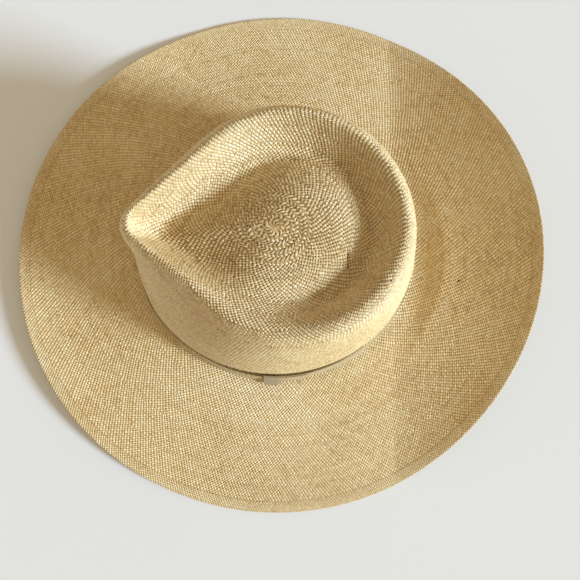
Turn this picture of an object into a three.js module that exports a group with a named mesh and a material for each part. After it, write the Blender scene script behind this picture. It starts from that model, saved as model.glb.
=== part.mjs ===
// Fedora hat of woven straw with a teardrop crown, as an assembly of separate pieces.
// Millimetres. +Z is up, +Y points to the back of the hat and +X to the wearer's left.
// The hat rests on z = 0 on the two sides of its brim. Each piece is made round the crown's
// axis, and then the whole hat moves so that its outline is centred on the origin.
import * as THREE from 'three';
import { mergeVertices } from 'three/addons/utils/BufferGeometryUtils.js';

const {
  clamp, degToRad, lerp, mapLinear, smoothstep,
} = THREE.MathUtils;

// ---------------------------------------------------------------- driving dimensions

const HEAD_HALF_LENGTH = 97.8;   // outside of the crown at the head line, front to back
const HEAD_HALF_WIDTH = 88.2;    // the same, side to side
const STRAW = 1.6;               // thickness of the woven straw
const GAP = 0.3;                 // clearance between pieces that touch

// The crown's two teardrops in plan: the crest, and the crease that runs round inside it.
// tip is from the crown's axis to the front of the pinch.
const CREST = {
  tip: 92, tipRadius: 13, rearRadius: 75.5, rearCentre: 11.5,
};
const GROOVE = {
  tip: 77, tipRadius: 8, rearRadius: 51.5, rearCentre: 13.5,
};
const CREST_HEIGHT_FRONT = 120;
const CREST_HEIGHT_BACK = 109.5;
const GROOVE_HEIGHT_FRONT = 86;
const GROOVE_HEIGHT_BACK = 93;
const DOME_HEIGHT = 107;         // the raised middle of the crown
const LEFT_CREST_INSET = 2;      // the wearer's left side is pinched in a little more
const LEFT_GROOVE_INSET = 6.5;
const LEFT_GROOVE_FILL = 12;      // the groove runs out at the wearer's left front

const HEAD_LINE = 16;            // height of the joint between crown and brim
const BRIM_ROOT = 12;            // upper face of the brim where it leaves the crown
const BRIM_BREAK = 5;            // radius of the turn from crown wall into brim
const BRIM_WIDTH = 98;           // from the crown wall to the outer edge
const BRIM_SIDE_EXTRA = 2;       // wider at the sides than at front and back
const BRIM_SKEW = 1.1;
const BRIM_SHIFT_BACK = 3.5;     // the brim's outline is this far behind the crown's
const BRIM_LIFT_FRONT = 9;       // how far the front edge rises off the table
const BRIM_FLAT = 0.3;           // sine of the angle at which the front edge starts to rise
const BRIM_LIFT_BACK = 42;       // the back of the brim is turned up, behind a straight fold
const BRIM_FOLD = 86;            // distance of that fold behind the crown's axis
const BRIM_FOLD_REACH = 111;     // from the fold to the back edge, before it is turned up
const BRIM_FOLD_DRAW = 0.21;     // how far the turned-up edge draws in, for each mm it rises
const EDGE_WIDTH = 8;            // the back-woven band along the outer edge
const EDGE_THICKNESS = 2;

const RIBBON_WIDTH = 11;
const RIBBON_THICKNESS = 0.8;
const RIBBON_FOOT = 15.4;
const RIBBON_SLACK_WIDTH = 1.4;  // the ribbon's ring is this much larger than the crown's foot
const RIBBON_SLACK_LENGTH = 0.6;
const RIBBON_SHIFT = 1;
const KEEPER_WIDTH = 10;
const KEEPER_THICKNESS = 0.5;
const KEEPER_ANGLE = degToRad(-2);

const SWEATBAND_FOOT = 12;
const SWEATBAND_HEIGHT = 34;
const SWEATBAND_THICKNESS = 1.2;
const WELT_THICKNESS = 0.7;
const WELT_BORE = 1.3;           // radius of the channel that the reed lies in
const REED_RADIUS = 0.9;
const REED_OFFSET = -2.5;        // from the crown's outer face at its foot
const REED_HEIGHT = 10.6;
const THREAD_SIZE = 0.6;
const THREAD_HEIGHT = 3;         // above the sweatband's foot
const SEAM_TAPE_WIDTH = 12;
const SEAM_TAPE_FOOT = 17;
const SEAM_TAPE_HEIGHT = 16;
const SEAM_TAPE_THICKNESS = 0.6;
const TAB_ANGLE = degToRad(110);
const TAB_WIDTH = 20;
const TAB_FOOT = 19;
const TAB_HEIGHT = 13;
const TAB_THICKNESS = 0.5;

const CROWN_SEGMENTS = 72;
const BRIM_SEGMENTS = 96;
const TRIM_SEGMENTS = 64;

// ---------------------------------------------------------------- shared outlines

// 1 at the front of the hat, 0 at the back
const frontness = (angle) => (1 - Math.sin(angle)) / 2;

const ellipseRadius = (angle, halfWidth, halfLength) => 1 / Math.hypot(
  Math.cos(angle) / halfWidth,
  Math.sin(angle) / halfLength,
);

// A teardrop is a small circle at the front and a large one at the back, joined by
// their two outer tangents. This is its radius from the crown's axis.
function teardropRadius(angle, { tip, tipRadius, rearRadius, rearCentre }) {
  const tipCentre = tipRadius - tip;
  const slope = (rearRadius - tipRadius) / (rearCentre - tipCentre);
  const run = Math.sqrt(1 - slope * slope);
  const across = Math.abs(Math.cos(angle));
  const along = Math.sin(angle);
  const fromFront = Math.atan2(across, -along);
  const reach = (centre, radius) => along * centre
    + Math.sqrt(Math.max((along * centre) ** 2 - centre ** 2 + radius ** 2, 0));
  if (fromFront < Math.atan2(tipRadius * run, tipRadius * slope - tipCentre)) {
    return reach(tipCentre, tipRadius);
  }
  if (fromFront < Math.atan2(rearRadius * run, rearRadius * slope - rearCentre)) {
    return (rearRadius - slope * rearCentre) / (run * across - slope * along);
  }
  return reach(rearCentre, rearRadius);
}

// Uniform cubic B-spline through its first and last points, at t from 0 to 1
function bSpline(points, t) {
  const last = points.length - 1;
  const spans = points.length + 1;
  const span = Math.min(Math.floor(t * spans), spans - 1);
  const u = t * spans - span;
  const weights = [
    (1 - u) ** 3 / 6,
    (3 * u ** 3 - 6 * u ** 2 + 4) / 6,
    (-3 * u ** 3 + 3 * u ** 2 + 3 * u + 1) / 6,
    u ** 3 / 6,
  ];
  const result = new THREE.Vector2();
  weights.forEach((weight, k) => {
    const index = clamp(span + k - 2, 0, last);
    result.addScaledVector(points[index], weight);
  });
  return result;
}

// ---------------------------------------------------------------- building solids

const at = (angle, radius, height) => new THREE.Vector3(
  radius * Math.cos(angle),
  radius * Math.sin(angle),
  height,
);

// Joins a grid of points into a closed body. Each row is one cross section. The rows close
// on themselves unless they are capped, and the columns do unless they run pole to pole.
function gridSolid(rows, { capped = false, closeColumns = true } = {}) {
  const columns = rows[0].length;
  const corners = [];
  const triangle = (a, b, c) => {
    const collapsed = a.distanceTo(b) < 1e-6 || b.distanceTo(c) < 1e-6 || c.distanceTo(a) < 1e-6;
    if (!collapsed) corners.push(a, b, c);
  };
  const rowSteps = capped ? rows.length - 1 : rows.length;
  const columnSteps = closeColumns ? columns : columns - 1;
  for (let i = 0; i < rowSteps; i += 1) {
    const row = rows[i];
    const next = rows[(i + 1) % rows.length];
    for (let j = 0; j < columnSteps; j += 1) {
      const k = (j + 1) % columns;
      triangle(row[j], next[k], next[j]);
      triangle(row[j], row[k], next[k]);
    }
  }
  if (capped) {
    const first = rows[0];
    const final = rows[rows.length - 1];
    for (let j = 1; j < columns - 1; j += 1) {
      triangle(first[0], first[j + 1], first[j]);
      triangle(final[0], final[j], final[j + 1]);
    }
  }
  return mergeVertices(new THREE.BufferGeometry().setFromPoints(corners), 1e-5);
}

// A body swept round the crown's axis. section(angle) lists the points of its cross
// section, clockwise when seen with the axis on the left and +Z up.
function sweptRing(section, segments) {
  const rows = [];
  for (let i = 0; i < segments; i += 1) {
    rows.push(section((i / segments) * 2 * Math.PI));
  }
  return gridSolid(rows);
}

// The cross section of a standing strip. radiusAt(offset, height) is where its wall stands.
function stripSection(angle, radiusAt, inside, outside, heights) {
  const outer = heights.map((height) => at(angle, radiusAt(outside, height), height));
  const inner = heights.map((height) => at(angle, radiusAt(inside, height), height));
  return [...outer, ...inner.reverse()];
}

// Like sweptRing, but over part of a turn, with a flat face at each end
function sweptPatch(section, middle, halfAngle, steps) {
  const rows = [];
  for (let i = 0; i <= steps; i += 1) {
    rows.push(section(middle + halfAngle * ((2 * i) / steps - 1)));
  }
  return gridSolid(rows, { capped: true });
}

function piece(name, geometry, color, roughness) {
  const material = new THREE.MeshStandardMaterial({ color, roughness, metalness: 0 });
  const mesh = new THREE.Mesh(geometry, material);
  mesh.name = name;
  return mesh;
}

// ---------------------------------------------------------------- crown

// The crown's outer face along one meridian, from its middle down to the head line
function crownProfile(angle) {
  const front = frontness(angle);
  const back = Math.max(Math.sin(angle), 0) * (1 + 0.6 * Math.min(Math.cos(angle), 0));
  const left = Math.max(Math.cos(angle), 0);
  const filled = Math.max(Math.cos(angle + Math.PI / 6), 0) ** 2;
  const crest = teardropRadius(angle, CREST) - LEFT_CREST_INSET * left;
  const groove = teardropRadius(angle, GROOVE) - LEFT_GROOVE_INSET * left;
  const base = ellipseRadius(angle, HEAD_HALF_WIDTH, HEAD_HALF_LENGTH);
  const crestZ = lerp(CREST_HEIGHT_BACK, CREST_HEIGHT_FRONT, front) - 1.5 * left;
  const floorZ = lerp(GROOVE_HEIGHT_BACK, GROOVE_HEIGHT_FRONT, front ** 4);
  const grooveZ = floorZ + 2 * left + LEFT_GROOVE_FILL * filled;
  const depth = DOME_HEIGHT - grooveZ;
  const riseRadius = lerp(groove, crest, 0.4 - 0.1 * back - 0.06 * left);
  const riseZ = lerp(grooveZ, crestZ, 0.38 + 0.07 * back + 0.1 * left);
  const brinkRadius = lerp(groove, crest, 0.72 - 0.2 * back - 0.2 * left);
  const brinkZ = crestZ + 0.5 - 1.5 * back - 1.5 * left;
  const rollRadius = crest - 3.5 - 2 * back - 4.5 * left;
  const rollZ = crestZ + 4.5 - 0.5 * back - 2 * left;
  return [
    new THREE.Vector2(0, DOME_HEIGHT),
    new THREE.Vector2(0.28 * groove, DOME_HEIGHT - 0.09 * front * depth),
    new THREE.Vector2(lerp(0.58, 0.53, front) * groove, DOME_HEIGHT - lerp(0.14, 0.4, front) * depth),
    new THREE.Vector2(lerp(0.84, 0.8, front) * groove, DOME_HEIGHT - lerp(0.62, 0.8, front) * depth),
    new THREE.Vector2(groove - 0.5 - 1.5 * front, grooveZ - 3 + 3 * front),
    new THREE.Vector2(riseRadius, riseZ),
    new THREE.Vector2(brinkRadius, brinkZ),
    new THREE.Vector2(rollRadius, rollZ),
    new THREE.Vector2(crest + 3.5 - 1.5 * back - 3.5 * left, crestZ - 3.5 - left),
    new THREE.Vector2(lerp(crest, base, 0.38), 84),
    new THREE.Vector2(lerp(crest, base, 0.85), 52),
    new THREE.Vector2(base, 34),
    new THREE.Vector2(base, HEAD_LINE),
  ];
}

// One meridian of the crown's outer face with the inner face a straw's thickness inside
function crownMeridian(angle, steps) {
  const profile = crownProfile(angle);
  const outer = [];
  const inner = [];
  for (let j = 0; j <= steps; j += 1) {
    const t = j / steps;
    const point = bSpline(profile, t);
    const ahead = bSpline(profile, Math.min(t + 1e-3, 1));
    const behind = bSpline(profile, Math.max(t - 1e-3, 0));
    const along = ahead.sub(behind).normalize();
    if (j === 0) along.set(1, 0);
    if (j === steps) along.set(0, -1);
    outer.push(point);
    inner.push(new THREE.Vector2(along.y, -along.x).multiplyScalar(STRAW).add(point));
  }
  return { outer, inner };
}

function crown() {
  const steps = 20;
  const rows = [];
  for (let i = 0; i < CROWN_SEGMENTS; i += 1) {
    const angle = (i / CROWN_SEGMENTS) * 2 * Math.PI;
    const { outer, inner } = crownMeridian(angle, steps);
    const section = [...outer, ...inner.reverse()];
    rows.push(section.map((point) => at(angle, point.x, point.y)));
  }
  return gridSolid(rows, { closeColumns: false });
}

// ---------------------------------------------------------------- brim

function brimWidth(angle) {
  return BRIM_WIDTH + BRIM_SIDE_EXTRA * Math.cos(2 * angle) - BRIM_SKEW * Math.sin(2 * angle);
}

// Point at a distance out from the crown wall, square to that wall, on a flat brim and on
// the brim as it is, with the back turned up
function brimPlan(angle, distance) {
  const radius = ellipseRadius(angle, HEAD_HALF_WIDTH, HEAD_HALF_LENGTH);
  const wall = new THREE.Vector2(radius * Math.cos(angle), radius * Math.sin(angle));
  const out = new THREE.Vector2(wall.x / HEAD_HALF_WIDTH ** 2, wall.y / HEAD_HALF_LENGTH ** 2);
  out.normalize();
  const t = clamp(distance / brimWidth(angle), 0, 1);
  const flat = wall.clone().addScaledVector(out, distance);
  flat.y += BRIM_SHIFT_BACK * t;
  const behind = clamp((flat.y - BRIM_FOLD) / BRIM_FOLD_REACH, 0, 1);
  const front = smoothstep(-Math.sin(angle), BRIM_FLAT, 1);
  const turnUp = BRIM_LIFT_BACK * behind ** 1.3 * smoothstep(t, 0, 0.3);
  return {
    place: flat.addScaledVector(out, -BRIM_FOLD_DRAW * turnUp),
    lift: turnUp + BRIM_LIFT_FRONT * front * t ** 1.5,
  };
}

// Height of the brim's upper face, falling from the crown to the edge
function brimHeight(angle, distance) {
  const reach = brimWidth(angle) - EDGE_WIDTH;
  const t = clamp(distance / reach, 0, 1);
  const fall = 0.5 * t + 0.5 * smoothstep(t, 0, 1);
  return lerp(BRIM_ROOT, STRAW, fall) + brimPlan(angle, distance).lift;
}

function brimPoint(angle, distance, height) {
  const { place } = brimPlan(angle, distance);
  return new THREE.Vector3(place.x, place.y, height);
}

// The brim starts as a short upright collar under the crown wall and turns outwards
function brim() {
  const turnSteps = 3;
  const spreadSteps = 6;
  return sweptRing((angle) => {
    const upper = [];
    const lower = [];
    const collarTop = HEAD_LINE - GAP;
    upper.push(brimPoint(angle, 0, collarTop));
    lower.push(brimPoint(angle, -STRAW, collarTop));
    const rootUpper = brimHeight(angle, BRIM_BREAK);
    const turn = collarTop - rootUpper;
    for (let k = 1; k <= turnSteps; k += 1) {
      const bend = (k / turnSteps) * (Math.PI / 2);
      const outward = BRIM_BREAK * (1 - Math.cos(bend));
      const drop = turn * Math.sin(bend);
      const tilt = Math.sin(bend);
      upper.push(brimPoint(angle, outward, collarTop - drop));
      lower.push(brimPoint(angle, outward - STRAW * (1 - tilt), collarTop - drop - STRAW * tilt));
    }
    const reach = brimWidth(angle) - EDGE_WIDTH - GAP;
    for (let k = 1; k <= spreadSteps; k += 1) {
      const distance = lerp(BRIM_BREAK, reach, k / spreadSteps);
      const height = brimHeight(angle, distance);
      upper.push(brimPoint(angle, distance, height));
      lower.push(brimPoint(angle, distance, height - STRAW));
    }
    return [...upper, ...lower.reverse()];
  }, BRIM_SEGMENTS);
}

// The band at the outer edge, flat underneath so that the hat rests on its two sides
function brimEdge() {
  return sweptRing((angle) => {
    const outer = brimWidth(angle);
    const inner = outer - EDGE_WIDTH;
    const outerLow = brimPlan(angle, outer).lift;
    const innerLow = brimPlan(angle, inner).lift;
    return [
      brimPoint(angle, inner, innerLow + EDGE_THICKNESS),
      brimPoint(angle, outer, outerLow + EDGE_THICKNESS),
      brimPoint(angle, outer, outerLow),
      brimPoint(angle, inner, innerLow),
    ];
  }, BRIM_SEGMENTS);
}

// ---------------------------------------------------------------- hatband

// Radius of the crown's foot, moved out by some distance
const footRadius = (angle, offset) => ellipseRadius(
  angle,
  HEAD_HALF_WIDTH + offset,
  HEAD_HALF_LENGTH + offset,
);

// The ribbon is a loose ring. It touches the crown on the wearer's right and stands off it
// on the left, where the keeper passes behind it.
const ribbonRadius = (angle, offset) => ellipseRadius(
  angle,
  HEAD_HALF_WIDTH + RIBBON_SLACK_WIDTH + offset,
  HEAD_HALF_LENGTH + RIBBON_SLACK_LENGTH + offset,
);

function hatbandRibbon() {
  const geometry = sweptRing((angle) => stripSection(
    angle,
    (offset) => ribbonRadius(angle, offset),
    0,
    RIBBON_THICKNESS,
    [RIBBON_FOOT + RIBBON_WIDTH, RIBBON_FOOT],
  ), TRIM_SEGMENTS);
  return geometry.translate(RIBBON_SHIFT, 0, 0);
}

// A flat loop round the ribbon, on the wearer's left
function hatbandKeeper() {
  const halfHole = RIBBON_THICKNESS / 2 + GAP;
  const rectangle = (path, halfWidth, low, high) => path
    .moveTo(-halfWidth, low)
    .lineTo(halfWidth, low)
    .lineTo(halfWidth, high)
    .lineTo(-halfWidth, high)
    .closePath();
  const outline = rectangle(
    new THREE.Shape(),
    halfHole + KEEPER_THICKNESS,
    -GAP - KEEPER_THICKNESS,
    RIBBON_WIDTH + GAP + KEEPER_THICKNESS,
  );
  outline.holes.push(rectangle(new THREE.Path(), halfHole, -GAP, RIBBON_WIDTH + GAP));
  const geometry = new THREE.ExtrudeGeometry(outline, { depth: KEEPER_WIDTH, bevelEnabled: false });
  geometry.translate(0, 0, -KEEPER_WIDTH / 2);
  geometry.rotateX(Math.PI / 2);
  return geometry;
}

// ---------------------------------------------------------------- inside the crown

const LINING = -STRAW - GAP;                    // the sweatband's outer face
const SWEATBAND_INSIDE = LINING - SWEATBAND_THICKNESS;
const TRIM_FACE = SWEATBAND_INSIDE - GAP;       // outer face of what is sewn on the sweatband
const SWEATBAND_BEND = 25;                      // height at which it starts to lean in

// How far the crown wall has drawn in at a height above the head line
function crownInset(angle, height) {
  const profile = crownProfile(angle);
  let above = 0.5;
  let below = 1;
  for (let k = 0; k < 20; k += 1) {
    const middle = (above + below) / 2;
    if (bSpline(profile, middle).y > height) above = middle;
    else below = middle;
  }
  return profile[profile.length - 1].x - bSpline(profile, below).x;
}

// Radius of a wall parallel to the crown, between the heights where the sweatband bends
function liningRadius(angle, offset, height) {
  const top = SWEATBAND_FOOT + SWEATBAND_HEIGHT;
  const bend = crownInset(angle, SWEATBAND_BEND);
  const inset = height < SWEATBAND_BEND
    ? mapLinear(height, SWEATBAND_FOOT, SWEATBAND_BEND, 0, bend)
    : mapLinear(height, SWEATBAND_BEND, top, bend, crownInset(angle, top));
  return footRadius(angle, offset) - inset;
}

// A section of something that stands against the crown's inner wall
const liningSection = (angle, inside, outside, heights) => stripSection(
  angle,
  (offset, height) => liningRadius(angle, offset, height),
  inside,
  outside,
  heights,
);

function sweatband() {
  const heights = [SWEATBAND_FOOT + SWEATBAND_HEIGHT, SWEATBAND_BEND, SWEATBAND_FOOT];
  return sweptRing(
    (angle) => liningSection(angle, SWEATBAND_INSIDE, LINING, heights),
    CROWN_SEGMENTS,
  );
}

// A thin plastic ring that keeps the foot of the sweatband oval
function sweatbandReed() {
  const sides = 6;
  return sweptRing((angle) => {
    const section = [];
    for (let k = 0; k < sides; k += 1) {
      const turn = (-k / sides) * 2 * Math.PI;
      const radius = footRadius(angle, REED_OFFSET) + REED_RADIUS * Math.cos(turn);
      section.push(at(angle, radius, REED_HEIGHT + REED_RADIUS * Math.sin(turn)));
    }
    return section;
  }, TRIM_SEGMENTS);
}

// The tape folded under the reed, open at the top where it is sewn to the sweatband
function sweatbandWelt() {
  const steps = 5;
  const halfMouth = degToRad(50);
  return sweptRing((angle) => {
    const arc = (size) => {
      const points = [];
      for (let k = 0; k <= steps; k += 1) {
        const turn = Math.PI / 2 - halfMouth - (k / steps) * 2 * (Math.PI - halfMouth);
        const radius = footRadius(angle, REED_OFFSET) + size * Math.cos(turn);
        points.push(at(angle, radius, REED_HEIGHT + size * Math.sin(turn)));
      }
      return points;
    };
    return [...arc(WELT_BORE + WELT_THICKNESS), ...arc(WELT_BORE).reverse()];
  }, TRIM_SEGMENTS);
}

// The row of stitches above the sweatband's foot
function sweatbandThread() {
  const low = SWEATBAND_FOOT + THREAD_HEIGHT;
  const heights = [low + THREAD_SIZE, low];
  return sweptRing(
    (angle) => liningSection(angle, TRIM_FACE - THREAD_SIZE, TRIM_FACE, heights),
    CROWN_SEGMENTS,
  );
}

// A flat patch on the sweatband's inner face, width along the wall and height up it
function sweatbandPatch(middle, width, low, height, thickness) {
  const halfAngle = width / 2 / footRadius(middle, TRIM_FACE);
  const heights = [low + height, SWEATBAND_BEND, low];
  return sweptPatch(
    (angle) => liningSection(angle, TRIM_FACE - thickness, TRIM_FACE, heights),
    middle,
    halfAngle,
    4,
  );
}

// ---------------------------------------------------------------- the whole hat

const BACK = Math.PI / 2;
const STRAW_COLOUR = 0xc9ad7c;
const LEATHER_COLOUR = 0x9a6b3e;

const keeper = piece('hatband_keeper', hatbandKeeper(), 0xad9876, 0.85);
keeper.position.copy(at(KEEPER_ANGLE, ribbonRadius(KEEPER_ANGLE, RIBBON_THICKNESS / 2), RIBBON_FOOT));
keeper.position.x += RIBBON_SHIFT;
keeper.rotation.z = KEEPER_ANGLE;

const hatband = new THREE.Group();
hatband.add(piece('hatband_ribbon', hatbandRibbon(), 0xcdb994, 0.85), keeper);

const seamTape = sweatbandPatch(
  BACK,
  SEAM_TAPE_WIDTH,
  SEAM_TAPE_FOOT,
  SEAM_TAPE_HEIGHT,
  SEAM_TAPE_THICKNESS,
);
const sizeTab = sweatbandPatch(TAB_ANGLE, TAB_WIDTH, TAB_FOOT, TAB_HEIGHT, TAB_THICKNESS);

const lining = new THREE.Group();
lining.add(
  piece('sweatband', sweatband(), LEATHER_COLOUR, 0.5),
  piece('sweatband_reed', sweatbandReed(), 0xe6e2d8, 0.4),
  piece('sweatband_welt', sweatbandWelt(), 0x6e4a2c, 0.8),
  piece('sweatband_thread', sweatbandThread(), 0xd8c9a4, 0.8),
  piece('sweatband_seam_tape', seamTape, 0x8a5d35, 0.7),
  piece('size_tab', sizeTab, 0xf0ebdd, 0.8),
);

const hat = new THREE.Group();
hat.add(
  piece('crown', crown(), STRAW_COLOUR, 0.8),
  piece('brim', brim(), STRAW_COLOUR, 0.8),
  piece('brim_edge', brimEdge(), 0xbfa26f, 0.8),
  hatband,
  lining,
);
const outline = new THREE.Box3().setFromObject(hat);
hat.position.y = -outline.getCenter(new THREE.Vector3()).y;

export default hat;
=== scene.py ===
import math

import bmesh
import bpy
import numpy as np
from mathutils import Matrix, Vector


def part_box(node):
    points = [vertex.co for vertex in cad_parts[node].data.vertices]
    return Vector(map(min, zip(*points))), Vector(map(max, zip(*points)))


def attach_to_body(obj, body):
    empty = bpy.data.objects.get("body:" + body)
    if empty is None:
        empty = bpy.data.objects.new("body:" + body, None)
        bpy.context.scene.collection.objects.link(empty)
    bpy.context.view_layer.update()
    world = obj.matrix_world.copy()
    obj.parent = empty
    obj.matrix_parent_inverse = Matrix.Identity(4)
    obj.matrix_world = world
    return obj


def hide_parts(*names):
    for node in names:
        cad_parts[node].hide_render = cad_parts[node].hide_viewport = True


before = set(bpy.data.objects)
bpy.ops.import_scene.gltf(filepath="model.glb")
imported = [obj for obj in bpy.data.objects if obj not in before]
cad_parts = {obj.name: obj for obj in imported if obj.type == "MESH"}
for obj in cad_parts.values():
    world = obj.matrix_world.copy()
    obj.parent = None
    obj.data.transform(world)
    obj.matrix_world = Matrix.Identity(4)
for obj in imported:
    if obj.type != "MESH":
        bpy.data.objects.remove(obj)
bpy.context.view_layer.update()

RANDOM = np.random.default_rng(11)
TURN = 2 * math.pi
MM = 0.001

# ---------------------------------------------------------------- sizes, from the frame

crown_low, crown_high = (np.array(corner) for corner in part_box("crown"))
ribbon_low, ribbon_high = (np.array(corner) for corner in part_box("hatband_ribbon"))
sweat_low, sweat_high = (np.array(corner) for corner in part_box("sweatband"))
reed_low, reed_high = (np.array(corner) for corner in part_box("sweatband_reed"))
AXIS = (crown_low + crown_high) / 2          # the crown's upright axis
HALF_WIDTH, HALF_LENGTH = (crown_high - crown_low)[:2] / 2
HEAD_LINE = crown_low[2]

CREST = {"tip": 92 * MM, "tip_radius": 13 * MM, "rear_radius": 75.5 * MM, "rear_centre": 11.5 * MM}
GROOVE = {"tip": 77 * MM, "tip_radius": 8 * MM, "rear_radius": 51.5 * MM, "rear_centre": 13.5 * MM}
LEFT_CREST_INSET = 2 * MM
LEFT_CREST_DROP = 1.5 * MM
LEFT_GROOVE_INSET = 6.5 * MM
LEFT_GROOVE_RISE = 2 * MM
LEFT_FRONT_FILL = 12 * MM                    # the groove runs out in the left front
CREST_HEIGHTS = (109.5 * MM, 120 * MM)       # back, front
GROOVE_HEIGHTS = (93 * MM, 86 * MM)
DOME_HEIGHT = 107 * MM
WALL_HEIGHTS = (84 * MM, 52 * MM, 34 * MM)   # where the wall's slope is set, downwards

CRACK_PLACE = 44.5 * MM                      # a short crack in the straw behind the dome
CRACK_SPAN = ((13 * MM, 16 * MM), (23 * MM, 26 * MM))
CRACK_SLANT = 0.1
CRACK_WIDTH = 0.7 * MM
CRACK_DEPTH = 3 * MM

BRIM_ROOT = 12 * MM
BRIM_BREAK = 5 * MM
BRIM_BREAK_SHARE = 0.08                      # part of the brim's profile taken by the break
BRIM_WIDTH = 98 * MM
BRIM_SIDE_EXTRA = 2 * MM
BRIM_SKEW = 1.1 * MM
BRIM_SHIFT_BACK = 3.5 * MM
BRIM_LIFT_FRONT = 9 * MM
BRIM_FLAT = 0.3
BRIM_LIFT_BACK = 42 * MM
BRIM_FOLD = 86 * MM
BRIM_FOLD_REACH = 111 * MM
BRIM_FOLD_CURVE = 1.3
BRIM_FOLD_START = 0.3                        # share of the width that the fold takes to grow
BRIM_FOLD_DRAW = 0.21
BRIM_EDGE_HEIGHT = 1.6 * MM
EDGE_WIDTH = 8 * MM
JOIN = 0.3 * MM                              # how far the brim reaches over each of its joins
STRAW = 1.3 * MM

HEM_ROLL = (0.42, 0.58)                      # part of the hem's section taken by its rim
HEM_RADIUS = 0.8 * MM
HEM_MIDDLE = 1.0 * MM


def lerp(low, high, t):
    return low + (high - low) * t


def smoothstep(low, high, x):
    t = np.clip((x - low) / (high - low), 0, 1)
    return t * t * (3 - 2 * t)


def ellipse_radius(angle):
    return 1 / np.hypot(np.cos(angle) / HALF_WIDTH, np.sin(angle) / HALF_LENGTH)


# ---------------------------------------------------------------- the crown's surface

def teardrop_radius(angle, tip, tip_radius, rear_radius, rear_centre):
    """Radius of a small front circle and a large rear one joined by their outer tangents."""
    tip_centre = tip_radius - tip
    slope = (rear_radius - tip_radius) / (rear_centre - tip_centre)
    run = math.sqrt(1 - slope * slope)
    across = np.abs(np.cos(angle))
    along = np.sin(angle)
    from_front = np.arctan2(across, -along)

    def reach(centre, radius):
        return along * centre + np.sqrt(np.maximum((along * centre) ** 2 - centre**2 + radius**2, 0))

    tangent = (rear_radius - slope * rear_centre) / np.maximum(run * across - slope * along, 1e-6)
    tip_end = math.atan2(tip_radius * run, tip_radius * slope - tip_centre)
    rear_start = math.atan2(rear_radius * run, rear_radius * slope - rear_centre)
    front = np.where(from_front < tip_end, reach(tip_centre, tip_radius), tangent)
    return np.where(from_front < rear_start, front, reach(rear_centre, rear_radius))


def crown_controls(angle):
    """Control points (radius, height) of the crown's profile at each angle, centre to head line."""
    front = (1 - np.sin(angle)) / 2
    back = np.maximum(np.sin(angle), 0) * (1 + 0.6 * np.minimum(np.cos(angle), 0))
    left = np.maximum(np.cos(angle), 0)
    filled = np.maximum(np.cos(angle + math.pi / 6), 0) ** 2
    one = np.ones_like(angle)
    crest = teardrop_radius(angle, **CREST) - LEFT_CREST_INSET * left
    groove = teardrop_radius(angle, **GROOVE) - LEFT_GROOVE_INSET * left
    base = ellipse_radius(angle)
    crest_z = lerp(*CREST_HEIGHTS, front) - LEFT_CREST_DROP * left
    groove_z = lerp(*GROOVE_HEIGHTS, front**4) + LEFT_GROOVE_RISE * left + LEFT_FRONT_FILL * filled
    depth = DOME_HEIGHT - groove_z
    points = [
        (0 * one, DOME_HEIGHT * one),
        (0.28 * groove, DOME_HEIGHT - lerp(0, 0.09, front) * depth),
        (lerp(0.58, 0.53, front) * groove, DOME_HEIGHT - lerp(0.14, 0.4, front) * depth),
        (lerp(0.84, 0.8, front) * groove, DOME_HEIGHT - lerp(0.62, 0.8, front) * depth),
        (groove - (0.5 + 1.5 * front) * MM, groove_z - (3 - 3 * front) * MM),
        (
            lerp(groove, crest, 0.4 - 0.1 * back - 0.06 * left),
            lerp(groove_z, crest_z, 0.38 + 0.07 * back + 0.1 * left),
        ),
        (
            lerp(groove, crest, 0.72 - 0.2 * back - 0.2 * left),
            crest_z + (0.5 - 1.5 * back - 1.5 * left) * MM,
        ),
        (
            crest - (3.5 + 2 * back + 4.5 * left) * MM,
            crest_z + (4.5 - 0.5 * back - 2 * left) * MM,
        ),
        (crest + (3.5 - 1.5 * back - 3.5 * left) * MM, crest_z - (3.5 + left) * MM),
        (lerp(crest, base, 0.38), WALL_HEIGHTS[0] * one),
        (lerp(crest, base, 0.85), WALL_HEIGHTS[1] * one),
        (base, WALL_HEIGHTS[2] * one),
        (base, HEAD_LINE * one),
    ]
    return np.array(points)


def crown_surface(angle, t):
    """Points of the crown's outer face, t from 0 at the centre to 1 at the head line.

    Each profile is a uniform cubic B-spline through the spans of its control points.
    """
    points = crown_controls(angle)
    last = len(points) - 1
    spans = len(points) + 1
    span = np.minimum((t * spans).astype(int), spans - 1)
    u = t * spans - span
    weights = (
        (1 - u) ** 3 / 6,
        (3 * u**3 - 6 * u**2 + 4) / 6,
        (-3 * u**3 + 3 * u**2 + 3 * u + 1) / 6,
        u**3 / 6,
    )
    column = np.arange(len(angle))
    radius, height = sum(
        weight * points[np.clip(span + k - 2, 0, last), :, column].T
        for k, weight in enumerate(weights)
    )
    x, y = radius * np.cos(angle), radius * np.sin(angle)
    along = smoothstep(*CRACK_SPAN[0], x) * (1 - smoothstep(*CRACK_SPAN[1], x))
    across = (y - CRACK_PLACE - CRACK_SLANT * x) / CRACK_WIDTH
    height = height - CRACK_DEPTH * along * np.exp(-across * across)
    return np.stack([AXIS[0] + x, AXIS[1] + y, height], axis=-1)


# ---------------------------------------------------------------- the brim's surface

def brim_width(angle):
    return BRIM_WIDTH + BRIM_SIDE_EXTRA * np.cos(2 * angle) - BRIM_SKEW * np.sin(2 * angle)


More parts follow.
